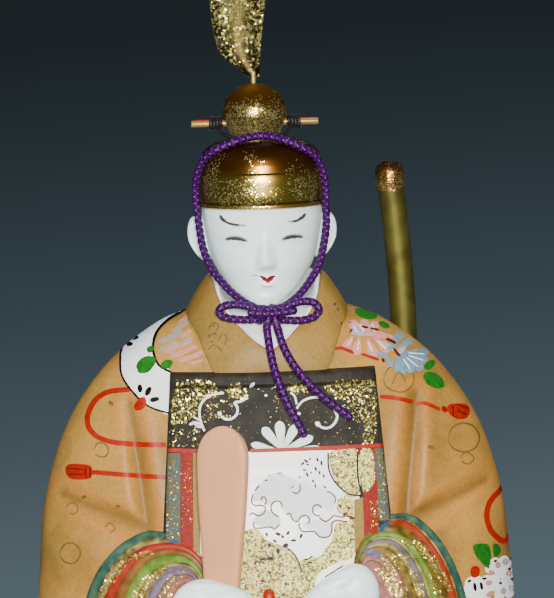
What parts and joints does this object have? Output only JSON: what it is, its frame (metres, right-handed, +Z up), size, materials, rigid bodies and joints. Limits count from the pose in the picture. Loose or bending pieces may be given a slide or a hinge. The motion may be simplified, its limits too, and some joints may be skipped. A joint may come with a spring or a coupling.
{
  "type": "hina doll",
  "caption": "Seated court doll of painted fired clay with a gilt cap, purple chin cord, baton and sword.",
  "frame": {"origin": "on the surface the doll stands on, under the middle of its box", "axes": "+X to the viewer's right (the doll's left), -Y to the front, +Z up"},
  "size_m": [0.1572, 0.1205, 0.2522],
  "materials": {
    "ochre_lacquered_clay": "ochre paint under a soft-gloss lacquer, on fired clay",
    "ochre_collar_clay": "ochre paint under a soft-gloss lacquer, on fired clay",
    "white_collar_clay": "matt shell-white paint on fired clay",
    "painted_panel_clay": "black, red, white and gold paint on fired clay",
    "layered_sleeve_clay": "bands of teal, red, green, gold, violet and pink paint on fired clay",
    "white_gofun_clay": "matt shell-white paint on fired clay",
    "red_sash_clay": "red paint on fired clay",
    "white_lap_clay": "off-white paint with a woven pattern, on fired clay",
    "gilt_lacquer": "burnished gold leaf over lacquer, on fired clay",
    "gilt_pin_metal": "gilt brass",
    "black_silk_thread": "black silk thread",
    "gilt_gauze": "stiffened gold gauze",
    "baton_wood": "smooth wood with a tan paint",
    "olive_gilt": "olive-gold metallic lacquer",
    "bronze_gilt": "bronze-gold metallic lacquer",
    "purple_silk_cord": "twisted purple silk"
  },
  "bodies": {
    "doll": {"robe_body": "ochre_lacquered_clay", "hakama": "white_lap_clay", "chest_panel": "painted_panel_clay", "robe_collar": "ochre_collar_clay", "inner_collar": "white_collar_clay", "sleeve_lining_right": "layered_sleeve_clay", "sleeve_lining_left": "layered_sleeve_clay", "hand_right": "white_gofun_clay", "hand_left": "white_gofun_clay", "sash_knot": "red_sash_clay", "head": "white_gofun_clay", "cap": "gilt_lacquer", "topknot_case": "gilt_lacquer", "hairpin": "gilt_pin_metal", "pin_binding_right": "black_silk_thread", "pin_binding_left": "black_silk_thread", "cord_chin_loop": "purple_silk_cord", "cord_knot": "purple_silk_cord", "cord_bow_right": "purple_silk_cord", "cord_bow_left": "purple_silk_cord", "cord_tail_right": "purple_silk_cord", "cord_tail_left": "purple_silk_cord"},
    "sword": {"sword_scabbard": "olive_gilt", "sword_chape": "bronze_gilt"},
    "baton": {"shaku": "baton_wood"},
    "plume": {"plume_stem": "gilt_pin_metal", "plume_gauze": "gilt_gauze"}
  },
  "joints": [
    {"name": "sword_lift", "type": "slide", "parent": "doll", "child": "sword", "axis": [0, 0, 1], "range_m": [0, 0.055]},
    {"name": "baton_lift", "type": "slide", "parent": "doll", "child": "baton", "axis": [0.0347, 0.1045, 0.9939], "range_m": [0, 0.03]},
    {"name": "plume_lift", "type": "slide", "parent": "doll", "child": "plume", "axis": [0, 0, 1], "range_m": [0, 0.012]}
  ]
}
